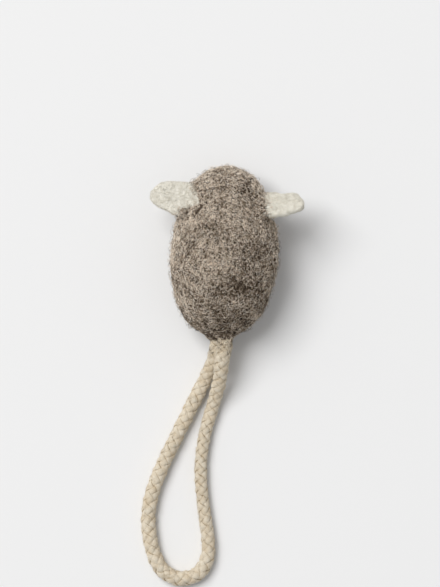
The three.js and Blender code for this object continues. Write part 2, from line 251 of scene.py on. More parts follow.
def cotton_material():
    """Plied cotton: fine slanting yarn lines along each strand, slow patches of warmer and paler yarn, and
    painted shade that darkens each strand towards its two flanks.
    """
    m = material("cotton_yarn", linear(228, 217, 196), 0.95, 0.1)
    nodes, links = m.node_tree.nodes, m.node_tree.links
    bsdf = nodes["Principled BSDF"]
    along = nodes.new("ShaderNodeUVMap")
    along.uv_map = "strand"
    yarn = nodes.new("ShaderNodeTexWave")
    yarn.wave_type = "BANDS"
    yarn.bands_direction = "DIAGONAL"
    set_inputs(yarn, Scale=1.6, Distortion=2.5, Detail=2, Detail_Scale=1.5)
    place = nodes.new("ShaderNodeTexCoord")
    patch = set_inputs(nodes.new("ShaderNodeTexNoise"), Scale=420, Detail=3)
    ramp = colour_ramp(nodes, [(0.3, linear(233, 219, 196)), (0.7, linear(247, 240, 226))])
    lines = set_inputs(multiply_colours(nodes), B=linear(220, 212, 197))
    # Painted shade: each strand is coloured darker towards its two flanks, where it dips between its
    # neighbours.
    apart = nodes.new("ShaderNodeSeparateXYZ")
    turned, flank, upper = (nodes.new("ShaderNodeMath") for _ in range(3))
    turned.operation, flank.operation, upper.operation = "MULTIPLY", "SINE", "ABSOLUTE"
    turned.inputs[1].default_value = 1 / STRAND_UV
    edge = colour_ramp(nodes, [(0.1, linear(184, 169, 140)), (0.6, linear(255, 255, 255))])
    painted_flank_shade = set_inputs(multiply_colours(nodes), Factor=1.0)
    lift = set_inputs(nodes.new("ShaderNodeBump"), Strength=0.5, Distance=YARN_BUMP * MM)
    links.new(along.outputs["UV"], apart.inputs[0])
    links.new(apart.outputs["Y"], turned.inputs[0])
    links.new(turned.outputs[0], flank.inputs[0])
    links.new(flank.outputs[0], upper.inputs[0])
    links.new(upper.outputs[0], edge.inputs["Fac"])
    links.new(lines.outputs["Result"], painted_flank_shade.inputs["A"])
    links.new(edge.outputs["Color"], painted_flank_shade.inputs["B"])
    links.new(along.outputs["UV"], yarn.inputs["Vector"])
    links.new(place.outputs["Object"], patch.inputs["Vector"])
    links.new(patch.outputs["Fac"], ramp.inputs["Fac"])
    links.new(ramp.outputs["Color"], lines.inputs["A"])
    links.new(yarn.outputs["Fac"], lines.inputs["Factor"])
    links.new(painted_flank_shade.outputs["Result"], bsdf.inputs["Base Color"])
    links.new(yarn.outputs["Fac"], lift.inputs["Height"])
    links.new(lift.outputs["Normal"], bsdf.inputs["Normal"])
    return m


cotton_yarn = cotton_material()
knot_cotton = felt(
    "knot_cotton",
    [(0.5, linear(196, 182, 158)), (0.66, linear(214, 202, 180)), (0.84, linear(230, 220, 200))],
    fine=1500, coarse=300, bump=0.6, sheen=0.0,
)

# -------------------- fibres

FIBRE_SIDES = 3


def fibre_tubes(lines, normals, radii):
    """Closed tapering tubes along lines (n, k, 3), with a radius and a surface normal for each point."""
    n, k, _ = lines.shape
    sides = FIBRE_SIDES
    along = unit(np.gradient(lines, axis=1))
    across = unit(np.cross(along, normals))
    up = np.cross(across, along)
    a = math.pi / 2 + 2 * math.pi * np.arange(sides) / sides
    ring = across[:, :, None] * np.cos(a)[:, None] + up[:, :, None] * np.sin(a)[:, None]
    verts = lines[:, :, None] + ring * radii[:, :, None, None]
    base = np.arange(n)[:, None] * (k * sides)
    quads = (base + grid_faces(k, sides).reshape(1, -1)).reshape(-1, 4)
    first = base + np.arange(sides)[None, ::-1]
    last = base + (k - 1) * sides + np.arange(sides)[None]
    # The rings turn against the way along, so every face is turned over to look outwards.
    return verts.reshape(-1, 3), quads[:, ::-1], np.concatenate([first, last])[:, ::-1]


def fibre_object(name, lines, normals, radii, shades, materials):
    """One mesh of many fibres, each with the material of its shade."""
    verts, quads, ends = fibre_tubes(lines, normals, radii)
    per = FIBRE_SIDES * (lines.shape[1] - 1)
    index = np.concatenate([np.repeat(shades, per), shades, shades]).astype(np.int32)
    return make_mesh(name, verts, quads.tolist() + ends.tolist(), materials, index)


def picked(good, *fibres):
    """Lines, normals, radii and shades of the fibres that are kept."""
    return [values[good] for values in fibres]


class Skin:
    """A surface that fibres grow on: its triangles for picking places, and a tree for following it."""

    def __init__(self, verts, faces):
        self.verts = np.asarray(verts, float)
        triangles = []
        for f in faces:
            triangles.append(f[:3])
            if len(f) == 4:
                triangles.append([f[0], f[2], f[3]])
        self.triangles = np.array(triangles)
        a, b, c = (self.verts[self.triangles[:, k]] for k in range(3))
        self.area = np.linalg.norm(np.cross(b - a, c - a), axis=1) / 2
        self.tree = BVHTree.FromPolygons(self.verts.tolist(), self.triangles.tolist())

    def places(self, count, weight=None):
        share = self.area if weight is None else self.area * weight
        pick = rng.choice(len(share), count, p=share / share.sum())
        a, b, c = (self.verts[self.triangles[pick, k]] for k in range(3))
        u, v = rng.random((2, count, 1))
        flip = u + v > 1
        u, v = np.where(flip, 1 - u, u), np.where(flip, 1 - v, v)
        return a + (b - a) * u + (c - a) * v

    def follow(self, points):
        """The nearest points of the skin and its normals there."""
        flat = points.reshape(-1, 3)
        found = [self.tree.find_nearest(p) for p in flat.tolist()]
        at = np.array([f[0] for f in found]).reshape(points.shape)
        normal = np.array([f[1] for f in found]).reshape(points.shape)
        return at, normal


def grow(skin, roots, steps, lengths, curl, lie, rise):
    """Lines of fibres that start at roots and wander over the skin, and the skin's normals under them. lie
    is the height of their ends above it, and rise how much higher their middles are."""
    n = len(roots)
    at, normal = skin.follow(roots)
    seed = rng.normal(size=(n, 3))
    ahead = unit(seed - (seed * normal).sum(1, keepdims=True) * normal)
    bend = rng.normal(size=n) * curl
    step = (lengths / (steps - 1))[:, None]
    points, normals = [at], [normal]
    for _ in range(steps - 1):
        bend = bend + rng.normal(size=n) * curl * 0.45
        turn = (bend * step[:, 0])[:, None]
        side = np.cross(normal, ahead)
        ahead = unit(ahead * np.cos(turn) + side * np.sin(turn))
        at, normal = skin.follow(at + ahead * step)
        ahead = unit(ahead - (ahead * normal).sum(1, keepdims=True) * normal)
        points.append(at)
        normals.append(normal)
    points, normals = np.stack(points, 1), np.stack(normals, 1)
    t = np.linspace(0, 1, steps)[None]
    height = lie[:, None] + rise[:, None] * np.sin(t * math.pi) ** 1.5
    return points + normals * height[:, :, None], normals


def taper(n, steps, thick):
    """Radii that narrow towards both ends."""
    t = np.linspace(0, 1, steps)[None]
    return thick[:, None] * np.clip(1.15 * np.sin(t * math.pi) ** 0.45, 0.3, 1) * np.ones((n, 1))


# -------------------- the tail's cord

CORD_DIAMETER = 4.4
CORD_STEP = 0.3
# Each leg's place where it comes through the rump, sideways and up, and where the legs start inside it
LEGS = {"upper": (0.74, 11.849), "lower": (3.04, 7.751)}
LEG_FROM = 24.4
# The cord's middle line from the upper leg round the loop to the lower one
TAIL_ROUTE = [
    (1.05, 30.2, 11.8), (1.6, 33.6, 10.4), (2.0, 37.2, 8.2), (2.7, 41.1, 5.5),
    (3.8, 45.2, 3.2), (5.1, 49.6, 2.3), (6.5, 54.5, 2.25), (7.5, 59.4, 2.25),
    (8.1, 64.3, 2.25), (8.2, 69.2, 2.25), (7.9, 74.1, 2.25), (7.3, 79.0, 2.25),
    (6.6, 83.9, 2.25), (6.0, 88.6, 2.25), (5.9, 93.1, 2.25), (6.9, 96.9, 2.25),
    (9.2, 99.9, 2.25), (12.8, 101.3, 2.25), (16.6, 101.0, 2.25), (19.9, 99.0, 2.25),
    (22.1, 95.7, 2.25), (23.5, 91.5, 2.25), (24.3, 87.1, 2.25), (24.6, 82.5, 2.25),
    (24.1, 77.8, 2.25), (22.9, 73.1, 2.25), (21.2, 68.5, 2.25), (19.2, 63.9, 2.25),
    (17.0, 59.4, 2.25), (14.8, 54.9, 2.25), (12.5, 50.3, 2.25), (10.2, 45.7, 2.25),
    (7.9, 41.2, 2.4), (5.8, 36.9, 3.6), (4.2, 33.2, 5.7), (3.3, 30.0, 7.4),
]
LOOP_START = 27.67


def leg_points(name):
    """Points on a leg's line, from inside the rump outwards."""
    x, z = LEGS[name]
    return [(x, y, z) for y in (LEG_FROM, 26.0, LOOP_START, LOOP_START + 1)]


def smooth_route(points, spacing):
    """The centripetal curve through the points, at equal steps."""
    p = np.array(points, float)
    p = np.concatenate([[2 * p[0] - p[1]], p, [2 * p[-1] - p[-2]]])
    dense = []
    for i in range(1, len(p) - 2):
        p0, p1, p2, p3 = p[i - 1 : i + 3]
        d0, d1, d2 = (math.sqrt(np.linalg.norm(b - a)) for a, b in ((p0, p1), (p1, p2), (p2, p3)))
        t1 = (p1 - p0) / d0 - (p2 - p0) / (d0 + d1) + (p2 - p1) / d1
        t2 = (p2 - p1) / d1 - (p3 - p1) / (d1 + d2) + (p3 - p2) / d2
        t1, t2 = t1 * d1, t2 * d1
        for u in np.linspace(0, 1, 24, endpoint=False):
            u2, u3 = u * u, u * u * u
            dense.append(
                (2 * u3 - 3 * u2 + 1) * p1 + (u3 - 2 * u2 + u) * t1 + (3 * u2 - 2 * u3) * p2 + (u3 - u2) * t2
            )
    dense = np.array([*dense, p[-2]])
    run = np.concatenate([[0], np.cumsum(np.linalg.norm(np.diff(dense, axis=0), axis=1))])
    count = int(round(run[-1] / spacing)) + 1
    at = np.linspace(0, run[-1], count)
    return np.stack([np.interp(at, run, dense[:, k]) for k in range(3)], 1), run[-1]


def carried_frames(line, first):
    """Along, and two directions across it that don't twist, at each point."""
    along = unit(np.gradient(line, axis=0))
    across = np.zeros_like(line)
    v = np.array(first, float)
    for i, t in enumerate(along):
        v = unit(v - t * (v @ t))
        across[i] = v
    return along, across, np.cross(along, across)


cord_line, cord_length = smooth_route(
    [*leg_points("upper"), *TAIL_ROUTE, *leg_points("lower")[::-1]], CORD_STEP
)
cord_along, cord_out, cord_side = carried_frames(cord_line, (0, 0, 1))
cord_at = np.linspace(0, cord_length, len(cord_line))

# How far along the cord, and how thick it is there beside its usual size: it is soft, and has thin places.
CORD_SWELL = [
    (0, 1.06), (12, 1.04), (24, 0.98), (42, 0.9), (58, 0.92), (72, 1.02),
    (84, 1.1), (96, 1.08), (118, 1.06), (140, 1.04), (160, 1.03), (173, 1.06),
]
cord_swell = np.interp(cord_at, *np.array(CORD_SWELL, float).T)
EACH_WAY = 4
STRANDS = 2 * EACH_WAY
BRAID_LEAD = 12.4  # one full turn of a strand
STRAND_MIDDLE = 1.43
STRAND_WEAVE = 0.27
STRAND_HALF_WIDTH = 1.0
STRAND_HALF_THICK = 0.5
STRAND_SIDES = 14
STRAND_SQUARENESS = 0.9  # 1 gives each strand an oval section
ON_FLOOR = 0.03  # the lowest that strands lie


def braid():
    """Eight strands, four each way round, each over one and under one of the others in turn."""
    verts, faces, uvs, lines = [], [], [], []
    turn = 2 * math.pi * cord_at / BRAID_LEAD
    weave = np.cos(math.pi * cord_at / (BRAID_LEAD / STRANDS))
    swell = cord_swell * (1 + 0.03 * np.sin(cord_at * 0.9) * np.sin(cord_at * 0.23 + 1))
    a = 2 * math.pi * np.arange(STRAND_SIDES) / STRAND_SIDES
    c, s = np.cos(a), np.sin(a)
    wide = np.sign(c) * np.abs(c) ** STRAND_SQUARENESS * STRAND_HALF_WIDTH
    thick = np.sign(s) * np.abs(s) ** STRAND_SQUARENESS * STRAND_HALF_THICK
    for strand in range(STRANDS):
        way = 1 if strand < EACH_WAY else -1
        uneven = swell * (1 + 0.09 * np.sin(cord_at * rng.uniform(0.25, 0.6) + rng.uniform(0, 6.28)))
        angle = way * turn + (strand % EACH_WAY) * 2 * math.pi / EACH_WAY
        angle = angle + 0.09 * np.sin(cord_at * 0.37 + strand * 1.9)
        radius = (STRAND_MIDDLE + way * STRAND_WEAVE * weave) * swell
        out = cord_out * np.cos(angle)[:, None] + cord_side * np.sin(angle)[:, None]
        middle = cord_line + out * radius[:, None]
        along = unit(np.gradient(middle, axis=0))
        out = unit(out - along * (out * along).sum(1, keepdims=True))
        across = np.cross(along, out)
        rings = middle[:, None] + across[:, None] * (wide[None, :, None] * uneven[:, None, None])
        rings = rings + out[:, None] * (thick[None, :, None] * uneven[:, None, None])
        v, f = capped(rings)
        faces += [[i + len(verts) for i in face] for face in f]
        verts += v.tolist()
        run = np.concatenate([[0], np.cumsum(np.linalg.norm(np.diff(middle, axis=0), axis=1))])
        uv = np.stack(np.broadcast_arrays(run[:, None] + strand * 7.3, a[None] * STRAND_UV), -1)
        uv = uv.reshape(-1, 2)
        uvs += uv.tolist() + [uv[0].tolist(), uv[-1].tolist()]
        lines.append((middle, out))
    return np.array(verts), faces, np.array(uvs), lines


cord_verts, cord_faces, cord_uvs, strands = braid()
cord_verts[:, 2] = np.maximum(cord_verts[:, 2], ON_FLOOR)
tail_cord = make_mesh("tail_cord", cord_verts, cord_faces, [cotton_yarn])
uv_layer = tail_cord.data.uv_layers.new(name="strand")
corners = np.zeros(len(tail_cord.data.loops), np.int32)
tail_cord.data.loops.foreach_get("vertex_index", corners)
uv_layer.data.foreach_set("uv", cord_uvs[corners].astype(np.float32).ravel())


FUZZ_STEPS = 6


def cord_fuzz(count, places):
    """Short cotton hairs that stand off the strands, at places picked along the cord."""
    strand = rng.integers(0, STRANDS, count)
    place = rng.choice(places, count)
    middles, outs = (np.stack(part) for part in zip(*strands))
    out = outs[strand, place]
    root = middles[strand, place] + out * STRAND_HALF_THICK * 0.8
    ways = rng.choice([-1, 1], (count, 1))
    heading = unit(cord_along[place] * ways + 0.7 * rng.normal(size=(count, 3)))
    lengths = rng.uniform(0.6, 1.9, count)
    t = np.linspace(0, 1, FUZZ_STEPS)
    lift = rng.uniform(0.05, 0.42, count)
    side = np.cross(heading, out)
    curve = rng.normal(size=count) * 0.5
    lines = root[:, None] + heading[:, None] * (t[None, :, None] * lengths[:, None, None])
    lines = lines + side[:, None] * (curve[:, None] * t[None] ** 2 * lengths[:, None])[:, :, None]
    # Each hair is drawn back round the cord, so that none cuts straight across a bend.
    forward = (heading * cord_along[place]).sum(1) * lengths / CORD_STEP
    index = place[:, None] + np.round(t[None] * forward[:, None]).astype(int)
    index = np.clip(index, 0, len(cord_line) - 1)
    away, tangent = lines - cord_line[index], cord_along[index]
    away = away - tangent * (away * tangent).sum(-1, keepdims=True)
    gap = np.linalg.norm(away, axis=-1, keepdims=True)
    want = (CORD_DIAMETER / 2 - 0.12) * cord_swell[index][..., None] + lift[:, None, None] * t[None, :, None]
    lines = lines + unit(away) * (want - gap)
    lines[:, :, 2] = np.maximum(lines[:, :, 2], 0.05)
    return lines, unit(away), taper(count, FUZZ_STEPS, rng.uniform(0.028, 0.045, count))


everywhere = np.arange(4, len(cord_line) - 14)
at_exit = everywhere[(cord_line[everywhere, 1] > 26.6) & (cord_line[everywhere, 1] < 31.5)]
nearer = at_exit[cord_line[at_exit, 1] < 29.4]
cotton_hairs = [cord_fuzz(2600, everywhere), cord_fuzz(700, at_exit)]
fuzz_lines, fuzz_normals, fuzz_radii = (np.concatenate(part) for part in zip(*cotton_hairs))
fuzz_shades = rng.integers(0, len(cotton_fuzz), len(fuzz_lines))
tail_fuzz = fibre_object("tail_fuzz", fuzz_lines, fuzz_normals, fuzz_radii, fuzz_shades, cotton_fuzz)
# Grey wool worked into the cord's first stretch
fleck_hairs = [cord_fuzz(120, nearer), cord_fuzz(50, at_exit)]
fleck_lines, fleck_normals, fleck_radii = (np.concatenate(part) for part in zip(*fleck_hairs))
fleck_shades = rng.integers(0, 4, len(fleck_lines))
fleck_radii = fleck_radii * 1.5
tail_flecks = fibre_object("tail_flecks", fleck_lines, fleck_normals, fleck_radii, fleck_shades, grey_wools)
for piece in (tail_cord, tail_fuzz, tail_flecks):
    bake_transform(piece)
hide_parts("tail_loop", "tail_leg_upper", "tail_leg_lower")
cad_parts["tail_knot"].data.materials.clear()
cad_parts["tail_knot"].data.materials.append(knot_cotton)

# -------------------- the ears

EAR_WIDTH, EAR_LENGTH, EAR_THICK, EAR_TIP_THICK = 12.6, 16.0, 3.2, 2.2
EAR_FRONT = [0.42, 0.465, 0.465, 0.4, 0.29, 0.15, 0]
EAR_BACK = [0.46, 0.5, 0.46, 0.335, 0.215, 0.1, 0]
# The coat's wool covers each ear's root out to a slanting line, "cover": how far out it is at the root's
# middle, and how that changes from front to back. "corner" adds the rear corner: how far back it starts, at
# places out along the ear. "front" and "back" are soft dents and swellings of its edges: place, size, height.
EARS = {
    "left": {
        "side": 1,
        "yaw": -4,
        "rise": 6,
        "roll": 26,
        "root": (7.892, -16.009, 16.616),
        "narrow": 0.9,
        "cover": (0.85, -0.37),
        "corner": ((-1.0, 0.0, 1.6, 3.7, 5.5, 6.5, 8.0, 9.5), (1.2, 1.6, 2.7, 3.2, 3.6, 4.2, 5.4, 6.8)),
        "front": [(12.8, 4.6, 0.85)],
        "back": [(9.0, 5.0, -0.5)],
        "seed": 31,
    },
    "right": {
        "side": -1,
        "yaw": -3,
        "rise": 26,
        "roll": -50,
        "root": (-8.985, -14.985, 16.372),
        "narrow": 0.45,
        "cover": (3.1, 0.55),
        "corner": None,
        "front": [(7.2, 1.3, -0.55), (11.3, 1.9, 0.8)],
        "back": [],
        "seed": 41,
    },
}


def share_at(shares, t):
    """A smooth value from a table of shares at equal steps, with t from 0 to 1 along it."""
    s = np.array(shares, float)
    place = np.asarray(t, float) * (len(s) - 1)
    i = np.minimum(np.floor(place).astype(int), len(s) - 2)
    f = place - i
    before, a, b, after = s[np.maximum(i - 1, 0)], s[i], s[i + 1], s[np.minimum(i + 2, len(s) - 1)]
    curve = (2 * before - 5 * a + 4 * b - after) * f * f + (3 * a - before - 3 * b + after) * f**3
    return a + 0.5 * ((b - before) * f + curve)


def ear_place(ear):
    """The ear's axes: outwards, along its root and through its thickness."""
    yaw, rise, roll = (math.radians(ear[k]) for k in ("yaw", "rise", "roll"))
    if ear["side"] < 0:
        yaw += math.pi
    about_z = np.array([[math.cos(yaw), -math.sin(yaw), 0], [math.sin(yaw), math.cos(yaw), 0], [0, 0, 1]])
    c, s = math.cos(-rise), math.sin(-rise)
    about_y = np.array([[c, 0, s], [0, 1, 0], [-s, 0, c]])
    c, s = math.cos(roll), math.sin(roll)
    about_x = np.array([[1, 0, 0], [0, c, -s], [0, s, c]])
    return about_z @ about_y @ about_x


def ear_local(ear, points):
    """Points in an ear's axes: out from its root, towards its rear and up from its middle plane."""
    local = (points - np.array(ear["root"])) @ ear_place(ear)
    return local[..., 0], local[..., 1] * ear["side"], local[..., 2]


def cover_depth(ear, points):
    """How far inside the wool that covers the ear's root the points are, and below zero outside it."""
    x, y, _ = ear_local(ear, points)
    depth = ear["cover"][0] + ear["cover"][1] * y - x
    if ear["corner"]:
        depth = np.maximum(depth, y - np.interp(x, *ear["corner"]))
    return depth


def edge_rise(swellings, x):
    """How far soft swellings, given by place, size and height, push an edge out at x."""
    return sum(height * math.exp(-(((x - place) / size) ** 2)) for place, size, height in swellings)


def ear_shape(ear):
    """A thick felt leaf, a little hollow on its upper face, from its buried root to its rounded tip."""
    steps, buried, sides = 60, 6, 72
    a = 2 * math.pi * np.arange(sides) / sides
    rings = []
    for k in range(-buried, steps):
        t = max(k, 0) / steps
        front, back = EAR_WIDTH * share_at(EAR_FRONT, t), EAR_WIDTH * share_at(EAR_BACK, t)
        x = EAR_LENGTH * math.sin(t * math.pi / 2) + min(k, 0) * 0.25
        back *= ear["narrow"] + (1 - ear["narrow"]) * smooth_step(x / 6)
        front, back = front + edge_rise(ear["front"], x), back + edge_rise(ear["back"], x)
        thick = between(EAR_THICK, EAR_TIP_THICK, t) * math.sqrt(1 - t**6)
        c, s = np.cos(a), np.sin(a)
        y = c * np.where(c * ear["side"] > 0, back, front)
        z = np.sign(s) * np.abs(s) ** 0.8 * thick / 2
        rings.append(np.stack([np.full(sides, x), y, z], -1))
    rings = np.array(rings)
    x, y = rings[..., 0], rings[..., 1]
    hollow = 0.55 * np.exp(-(((x - 5.5) / 4.5) ** 2) - (y / 3.4) ** 2)
    curl = 0.05 * np.maximum(np.abs(y) - 1.5, 0) ** 1.5 * smooth_step((x + 1) / 6)
    upper = rings[..., 2] > 0
    rings[..., 2] += np.where(upper, -hollow, 0) + curl
    flat = rings.reshape(-1, 3)
    bumps = 0.06 * waves(flat, 3.2, 7, 40, ear["seed"])
    bumps = bumps + 0.009 * waves(flat, 0.9, 2.2, 90, ear["seed"] + 1)
    rings = rings + grid_normals(rings) * bumps.reshape(rings.shape[:2])[:, :, None]
    return rings @ ear_place(ear).T + np.array(ear["root"])


BENDS_FROM, BENDS_TO = 1.0, 5.5  # the stretch of each ear, out from its root, that bends as it folds
for side_name, ear in EARS.items():
    verts, faces = capped(ear_shape(ear))
    felt_ear = make_mesh(f"ear_{side_name}_felt", verts, faces, [cream_felt])
    root, out = np.array(ear["root"]), ear_place(ear)[:, 0]
    ear["blend"] = {
        "start": tuple(((root + out * BENDS_FROM) * MM).tolist()),
        "end": tuple(((root + out * BENDS_TO) * MM).tolist()),
    }
    ear["skin"] = Skin(verts, faces)
    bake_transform(felt_ear)
    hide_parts(f"ear_{side_name}")

# -------------------- the coat's shape

BODY = {
    "width": 33.8,
    "length": 46,
    "height": 28.5,
    "front": -20.53,
    "aside": 0.79,
    "base": -0.5,
    "left": [0, 0.15, 0.3, 0.405, 0.458, 0.483, 0.5, 0.483, 0.45, 0.39, 0.308, 0.17, 0],
    "right": [0, 0.15, 0.29, 0.397, 0.468, 0.495, 0.49, 0.46, 0.41, 0.345, 0.24, 0.12, 0],
    "top": [0.42, 0.56, 0.7, 0.83, 0.93, 0.985, 1, 0.985, 0.92, 0.82, 0.69, 0.52, 0.33],
    "low": [0.42, 0.29, 0.18, 0.09, 0.02, 0, 0, 0, 0.02, 0.055, 0.1, 0.19, 0.33],
    "lumps": [
        (0.35, 0.77, 0.7, -0.8), (0.43, 0.86, 0.7, -0.8), (0.49, 0.67, 0.9, -0.7),
        (0.49, 0.785, 1, 0.7), (0.615, 0.73, 0.9, -1), (0.59, 0.645, 0.8, -0.6),
        (0.745, 0.755, 0.8, -0.7), (0.64, 0.83, 1, 0.7), (0.7, 0.63, 0.8, 0.6),
        (0.35, 0.61, 0.8, 0.7), (0.6, 0.92, 0.9, -0.8), (0.75, 0.9, 0.8, 0.6),
        (0.5, 0.57, 0.9, 0.7), (0.68, 0.55, 0.9, -0.7), (0.5, 0.08, 1, 0.8),
        (0.5, 0.42, 1, -0.8),
    ],
}
HEAD = {
    "width": 21.5,
    "length": 25.6,
    "height": 24.4,
    "front": -27.53,
    "aside": -0.71,
    "base": 1.0,
    "left": [0, 0.174, 0.335, 0.442, 0.49, 0.486, 0.478, 0.478, 0.464, 0.39, 0.28, 0.145, 0],
    "right": [0, 0.09, 0.22, 0.362, 0.449, 0.493, 0.525, 0.545, 0.522, 0.449, 0.319, 0.16, 0],
    "top": [0.31, 0.44, 0.57, 0.7, 0.81, 0.89, 0.95, 0.985, 1, 0.95, 0.82, 0.66, 0.5],
    "low": [0.31, 0.2, 0.12, 0.06, 0.02, 0, 0, 0.01, 0.06, 0.14, 0.25, 0.38, 0.5],
    "lumps": [
        (0.24, 0.8, 0.6, -0.7), (0.39, 0.655, 0.7, -0.8), (0.42, 0.76, 0.8, 0.6),
        (0.34, 0.9, 0.7, 0.5), (0.24, 0.63, 0.6, 0.6), (0.3, 0.07, 0.7, -0.6),
        (0.35, 0.45, 0.7, 0.6),
    ],
}
LUMP_HEIGHT = 0.6
LUMP_SIZE = 5.0
TAIL_MIDDLE = (1.89, 9.8)  # the cord's root, sideways and up
TAIL_LEAN = math.atan2(LEGS["upper"][0] - LEGS["lower"][0], LEGS["upper"][1] - LEGS["lower"][1])


def lobe_points(form, t, a):
    """Places at shares t along a rounded lobe and angles a round it."""
    top = form["height"] * share_at(form["top"], t)
    low = form["height"] * share_at(form["low"], t)
    half = form["width"] * np.where(np.cos(a) > 0, share_at(form["left"], t), share_at(form["right"], t))
    x = form["aside"] + np.cos(a) * half
    y = form["front"] + form["length"] * (1 - np.cos(t * math.pi)) / 2
    z = form["base"] + (top + low) / 2 - np.sin(a) * (top - low) / 2
    return np.stack(np.broadcast_arrays(x, y, z), -1)


def lobe_tree(form):
    """A rounded lobe along Y with its lumps, as a tree for rays."""
    steps, sides = 90, 120
    t = (np.arange(1, steps) / steps)[:, None]
    a = (2 * math.pi * np.arange(sides) / sides)[None]
    rings = lobe_points(form, t, a)
    rise = np.zeros(rings.shape[:2])
    for along, around, size, height in form["lumps"]:
        middle = lobe_points(form, np.array(along), np.array(2 * math.pi * around))
        away = np.linalg.norm(rings - middle, axis=-1) / (size * LUMP_SIZE)
        rise += height * LUMP_HEIGHT * np.exp(-(away**2))
    rise *= np.minimum(1, 1 - np.sin(a))
    rings = rings + rise[..., None] * np.stack(np.broadcast_arrays(np.cos(a), 0 * a, -np.sin(a)), -1)
    verts, faces = capped(rings)
    return BVHTree.FromPolygons(verts.tolist(), faces)


body_tree, head_tree = lobe_tree(BODY), lobe_tree(HEAD)
COAT_FRONT = np.array([-0.3, -14.5, 13.2])
COAT_BACK = np.array([0.9, 9.0, 12.6])
COAT_STATIONS = 210
COAT_SIDES = 330
CAP_SHARE = 0.31  # the share of the stations that are round each end
POLE_ANGLE = 0.012
JOIN_SOFTNESS = 1.0


def coat_rays():
    """Rays out of the coat's middle line, round its front, along it and round its back."""
    cap = int(COAT_STATIONS * CAP_SHARE)
    mid = COAT_STATIONS - 2 * cap
    front = np.linspace(POLE_ANGLE, math.pi / 2, cap)
    back = np.linspace(math.pi / 2, math.pi - POLE_ANGLE, cap)
    share = np.concatenate([np.zeros(cap), (np.arange(mid) + 1) / (mid + 1), np.ones(cap)])
    angle = np.concatenate([front, np.full(mid, math.pi / 2), back])
    origin = between(COAT_FRONT, COAT_BACK, share[:, None])
    a = 2 * math.pi * np.arange(COAT_SIDES) / COAT_SIDES
    direction = np.stack(
        np.broadcast_arrays(
            np.sin(angle)[:, None] * np.cos(a)[None],
            -np.cos(angle)[:, None],
            np.sin(angle)[:, None] * np.sin(a)[None],
        ),
        -1,
    )
    return np.broadcast_to(origin[:, None], direction.shape), direction


def reach(tree, origin, direction):
    """How far out along each ray the tree's surface is, or 0 where the ray misses it."""
    far = 60.0
    out = np.zeros(len(origin))
    for i, (o, d) in enumerate(zip(origin.tolist(), direction.tolist())):
        start = Vector(o) + Vector(d) * far
        hit = tree.ray_cast(start, -Vector(d), far)
        if hit[0] is not None:
            out[i] = far - hit[3]
    return out


def coat_shape():
    """Rings of the coat's outline, with the body and head softly joined."""
    origin, direction = coat_rays()
    flat_o, flat_d = origin.reshape(-1, 3), direction.reshape(-1, 3)
    a = reach(body_tree, flat_o, flat_d)
    b = reach(head_tree, flat_o, flat_d)
    near = np.maximum(JOIN_SOFTNESS - np.abs(a - b), 0) / JOIN_SOFTNESS
    r = np.maximum(a, b) + near * near * JOIN_SOFTNESS / 4
    return (flat_o + flat_d * r[:, None]).reshape(direction.shape)


COAT_INSET = 0.6  # the felt lies this far inside the coat's outline, and its wool fills the rest
# Creases felted into the coat: from, to, half width and depth.
CREASES = [
    ((10.8, -10.7), (7.2, -15.2), 0.42, 1.6),
    ((-12.1, -12.6), (-15.2, -10.6), 0.8, 0.9),
]
# The pit that the cord comes out of
PIT_ACROSS, PIT_HIGH, PIT_DEPTH = 6.0, 6.4, 3.6
REAR = 15  # the rump lies behind this


def tail_share(points):
    """Distance from the cord's root line, as a share of the pit's size."""
    dx, dz = points[..., 0] - TAIL_MIDDLE[0], points[..., 2] - TAIL_MIDDLE[1]
    return np.sqrt((dx / PIT_ACROSS) ** 2 + (dz / PIT_HIGH) ** 2)


def crease_place(crease, points, first, last):
    """Each point's share of the way along a crease, kept from first to last, and its distance from there."""
    start, run = np.array(crease[0]), np.array(crease[1]) - np.array(crease[0])
    share = np.clip(((points[..., :2] - start) @ run) / (run @ run), first, last)
    return share, np.linalg.norm(points[..., :2] - (start + share[..., None] * run), axis=-1)


coat = coat_shape()
normal = grid_normals(coat)
flat = coat.reshape(-1, 3)
lumps = 0.07 * waves(flat, 2.5, 6, 90, 12) + 0.03 * waves(flat, 0.9, 1.8, 120, 13)
for crease in CREASES:
    share, off = crease_place(crease, flat, 0, 1)
    deep = crease[3] * np.exp(-((off / crease[2]) ** 2)) * (flat[:, 2] > 9)
    lumps -= deep * np.sin(math.pi * (0.12 + 0.76 * share))
coat = coat + normal * (lumps.reshape(coat.shape[:2]) - COAT_INSET)[:, :, None]


def press_round_ear(points, ear):
    """Presses the coat down below the ear's upper face where the ear comes out of it."""
    x, y, z = ear_local(ear, points)
    inside = smooth_step(0.5 - cover_depth(ear, points)) * smooth_step((y + 7.0) / 0.9) * (x < 12)
    inside = inside * smooth_step((6.6 - y) / 0.9) * ((z > 0.2) & (z < 9))
    return points + ((-0.2 - z) * inside * 0.95)[..., None] * ear_place(ear)[:, 2]


def climb_ear(points, skin_normals, ear, height, rear_height, width):
    """Draws the coat up round the ear's root, by another height behind it."""
    flat = points.reshape(-1, 3)
    near = np.linalg.norm(flat - np.array(ear["root"]), axis=1) < EAR_LENGTH
    gap = np.full(len(flat), np.inf)
    gap[near] = [ear["skin"].tree.find_nearest(p)[3] for p in flat[near].tolist()]
    behind = smooth_step((flat[:, 1] - ear["root"][1] + 4) / 5)
    rise = between(height, rear_height, behind) * np.exp(-((gap / width) ** 2))
    return points + skin_normals * rise.reshape(points.shape[:2])[:, :, None]


